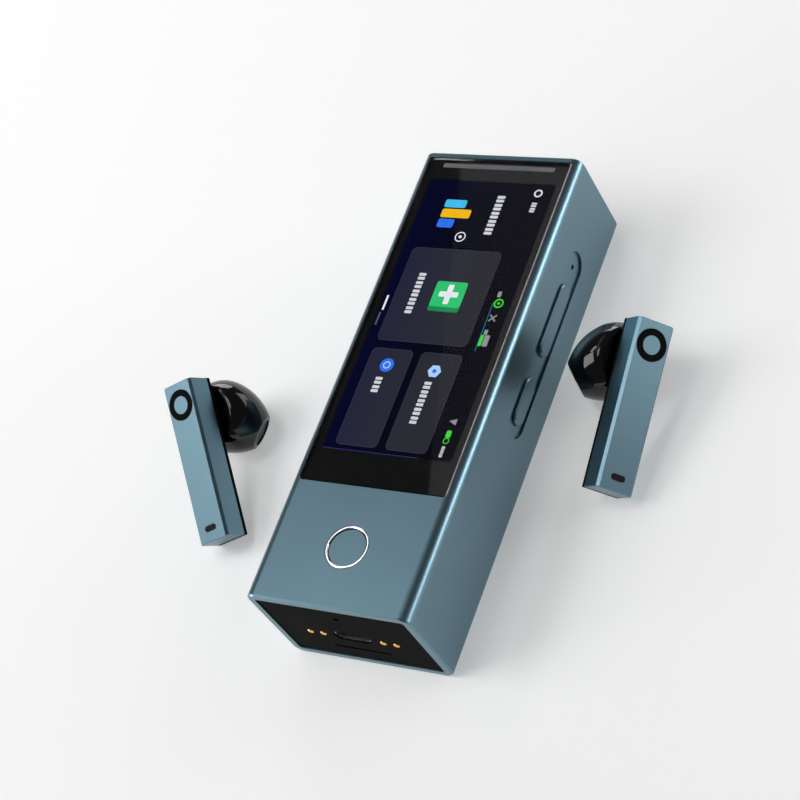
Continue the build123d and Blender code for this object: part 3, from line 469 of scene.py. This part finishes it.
grey_marks = [
    bar(12.6, 20.9, 22.4, 0.9), bar(12.8, 11.0, 12.3, 0.9),
    [(12.2, -11.3), (14.0, -12.2), (14.0, -10.6)],
    rounded(12.9, 14.2, 8.0, 10.9, 0.2),
]
CROSS_MIDDLE = (13.1, 15.4)
CROSS_ARM = [(-1.15, -0.17), (1.15, -0.17), (1.15, 0.17), (-1.15, 0.17)]
for turn in (math.pi / 4, -math.pi / 4):
    grey_marks.append([(CROSS_MIDDLE[0] + x * math.cos(turn) - y * math.sin(turn),
                        CROSS_MIDDLE[1] + x * math.sin(turn) + y * math.cos(turn)) for x, y in CROSS_ARM])

lime_marks = [
    *hoop(13.2, 19.3, 1.2, 0.35), disc(13.2, 19.3, 0.35), rounded(11.9, 12.7, 8.0, 10.9, 0.2),
    rounded(12.6, 13.8, -15.4, -13.6, 0.3), *hoop(13.2, -16.2, 0.75, 0.2),
]

TILE_Z = (MARK_Z[1] + TILE_GAP, OVER_Z[0])
PLUS_Z = (OVER_Z[0] + LAYER_GAP, OVER_Z[1])
MARKS = (
    # a chart of three columns
    ("screen_badge_cyan", [rounded(-10.2, -4.6, 44.1, 46.3, 0.5)], MARK_Z, cyan_paint),
    ("screen_badge_yellow", [rounded(-10.2, -2.6, 41.3, 43.7, 0.5)], MARK_Z, yellow_paint),
    ("screen_badge_blue", [rounded(-10.2, -6.0, 38.5, 40.9, 0.5)], MARK_Z, blue_paint),
    # a tile with a plus sign, in the large card
    ("screen_tile_side", [rounded(-4.0, 3.9, 16.0, 23.0, 0.6)], MARK_Z, dark_green_paint),
    ("screen_tile", [rounded(-4.0, 3.9, 17.2, 24.0, 0.6)], TILE_Z, green_paint),
    ("screen_plus", [rounded(-2.5, 2.4, 19.9, 21.3, 0.3), rounded(-0.75, 0.65, 18.0, 23.2, 0.3)], PLUS_Z,
     white_paint),
    # writing, rings, bars and lines
    ("screen_words", word_strokes, MARK_Z, word_paint),
    ("screen_white_marks", white_marks, MARK_Z, white_paint),
    ("screen_grey_marks", grey_marks, MARK_Z, grey_paint),
    ("screen_page_bar", [bar(-15.6, 11.1, 14.6, 0.45)], MARK_Z, dim_paint),
    ("screen_accent_line", [rounded(11.74, 11.92, 6.6, 19.4, 0.08)], MARK_Z, line_paint),
    ("screen_lime_marks", lime_marks, MARK_Z, lime_paint),
    # a disc with a ring and a hexagon with a disc, in the two small cards
    ("screen_blue_mark", [disc(-8.5, 1.0, 1.75)], MARK_Z, blue_paint),
    ("screen_blue_mark_core", hoop(-8.5, 1.0, 0.95, 0.3), OVER_Z, pale_blue_paint),
    ("screen_pale_mark", [arc(3.9, 0.6, 1.7, 0, 300, 5)], MARK_Z, pale_blue_paint),
    ("screen_pale_mark_core", [disc(3.9, 0.6, 0.5)], OVER_Z, blue_paint),
    ("screen_bottom_line", [rounded(-16.6, 8.0, -21.25, -21.05, 0.08)], MARK_Z, edge_paint),
)
for name, outlines, span, paint in MARKS:
    slabs(name, outlines, *span, paint)

# ------------------------------------------------------------------ floor, light and camera
FLOOR_COLOUR = [(NOISE_LOW, (0.915, 0.915, 0.917)), (NOISE_HIGH, (0.925, 0.925, 0.925))]
FLOOR_GLOW = 0.30           # added where the floor is seen, mirrored or shows through glass
FLOOR_HALF = 3.0
FLOOR_DROP = 0.0001
WORLD_LEVELS = ((0.1, 0.12), (0.3, 0.10))   # grey of the room over the height of the direction
PHOTO_WIDTH = 800
FOCAL_PIXELS = 2297.64
SENSOR_WIDTH = 36.0
CAMERA_PLACE = (0.255613, -0.214611, 0.406530)


def floor_material():
    shader = Shader("pale_floor", Roughness=0.9, Specular_IOR_Level=0.0)
    shader.colour(shader.ramp(shader.noise(6.0), FLOOR_COLOUR))
    path = shader.node("ShaderNodeLightPath")
    seen = path.outputs["Is Camera Ray"]
    for ray in ("Is Glossy Ray", "Is Transmission Ray"):
        added = shader.node("ShaderNodeMath", operation="ADD", use_clamp=True)
        shader.link(seen, added.inputs[0])
        shader.link(path.outputs[ray], added.inputs[1])
        seen = added.outputs["Value"]
    level = shader.node("ShaderNodeMath", operation="MULTIPLY")
    level.inputs[1].default_value = FLOOR_GLOW
    shader.link(seen, level.inputs[0])
    glow = shader.node("ShaderNodeEmission")
    shader.link(level.outputs["Value"], glow.inputs["Strength"])
    both = shader.node("ShaderNodeAddShader")
    shader.link(shader.bsdf.outputs["BSDF"], both.inputs[0])
    shader.link(glow.outputs["Emission"], both.inputs[1])
    shader.link(both.outputs["Shader"], shader.tree.nodes["Material Output"].inputs["Surface"])
    return shader.material


def stage_floor():
    bm = bmesh.new()
    bmesh.ops.create_grid(bm, x_segments=8, y_segments=8, size=FLOOR_HALF)
    bmesh.ops.translate(bm, verts=bm.verts, vec=(0, 0, -FLOOR_DROP))
    mesh = bpy.data.meshes.new("floor")
    bm.to_mesh(mesh)
    bm.free()
    mesh.materials.append(floor_material())
    floor = bpy.data.objects.new("floor", mesh)
    bpy.context.scene.collection.objects.link(floor)


def world_light():
    """Dim, even room."""
    world = bpy.data.worlds.new("studio")
    world.use_nodes = True
    bpy.context.scene.world = world
    tree = world.node_tree
    place = tree.nodes.new("ShaderNodeTexCoord")
    split = tree.nodes.new("ShaderNodeSeparateXYZ")
    ramp = tree.nodes.new("ShaderNodeValToRGB")
    for element, (position, level) in zip(ramp.color_ramp.elements, WORLD_LEVELS):
        element.position = position
        element.color = (level, level, level, 1.0)
    tree.links.new(place.outputs["Generated"], split.inputs["Vector"])
    tree.links.new(split.outputs["Z"], ramp.inputs["Fac"])
    tree.links.new(ramp.outputs["Color"], tree.nodes["Background"].inputs["Color"])


def softbox(name, place, aim, size, radiance, roll):
    """Rectangular lamp, as bright as a screen that glows at this strength, turned by roll in degrees."""
    light = bpy.data.lights.new(name, "AREA")
    light.shape = "RECTANGLE"
    light.size, light.size_y = size
    light.energy = radiance * math.pi * size[0] * size[1]
    lamp = bpy.data.objects.new(name, light)
    facing = (Vector(aim) - Vector(place)).to_track_quat("-Z", "Y").to_matrix().to_4x4()
    lamp.matrix_world = Matrix.Translation(place) @ facing @ Matrix.Rotation(math.radians(roll), 4, "Z")
    bpy.context.scene.collection.objects.link(lamp)
    lamp.visible_camera = False


def studio_camera():
    """The photograph's camera: rows are the picture's right, down and forward directions."""
    right = Vector((0.85484879, 0.3356799, -0.39566722))
    down = Vector((0.0907096, -0.84748273, -0.52301509))
    forward = Vector((-0.51088679, 0.411208, -0.75491898))
    data = bpy.data.cameras.new("camera")
    data.sensor_width = SENSOR_WIDTH
    data.lens = FOCAL_PIXELS / PHOTO_WIDTH * SENSOR_WIDTH
    data.clip_start = 0.01
    camera = bpy.data.objects.new("camera", data)
    turn = Matrix((right, -down, -forward)).transposed().to_4x4()
    camera.matrix_world = Matrix.Translation(Vector(CAMERA_PLACE)) @ turn
    bpy.context.scene.collection.objects.link(camera)
    bpy.context.scene.camera = camera


# Name, place, aim, size, radiance, roll.
LAMPS = (
    ("key_light", (-0.75, -0.30, 0.88), (0.0, 0.0, 0.0), (0.6, 0.6), 4.2, 0.0),
    ("panel_light", (-0.32, 0.11, 0.50), (0.0, -0.045, 0.027), (0.13, 0.07), 4.0, 0.0),
    ("back_right_light", (0.42, 0.80, 0.20), (0.0, 0.0, 0.01), (0.6, 0.3), 2.2, 0.0),
    ("back_left_light", (-0.42, 0.80, 0.20), (0.0, 0.0, 0.01), (0.6, 0.3), 4.0, 0.0),
    ("front_left_light", (-0.68, -0.61, 0.12), (0.0, 0.0, 0.01), (0.5, 0.2), 8.0, 0.0),
    ("edge_light", (0.65, 0.33, 0.08), (0.0, 0.0, 0.03), (0.30, 0.16), 12.0, 0.0),
    ("overhead_light", (-0.2519, 0.2799, 0.50), (-0.2519, 0.2799, 0.0), (0.11, 0.60), 0.35, 15.65),
    ("top_light", (-0.18, -0.06, 1.19), (0.044, 0.005, 0.015), (0.4, 0.4), 4.2, 0.0),
)

stage_floor()
world_light()
for lamp in LAMPS:
    softbox(*lamp)
studio_camera()
bpy.context.scene.view_settings.view_transform = "Standard"
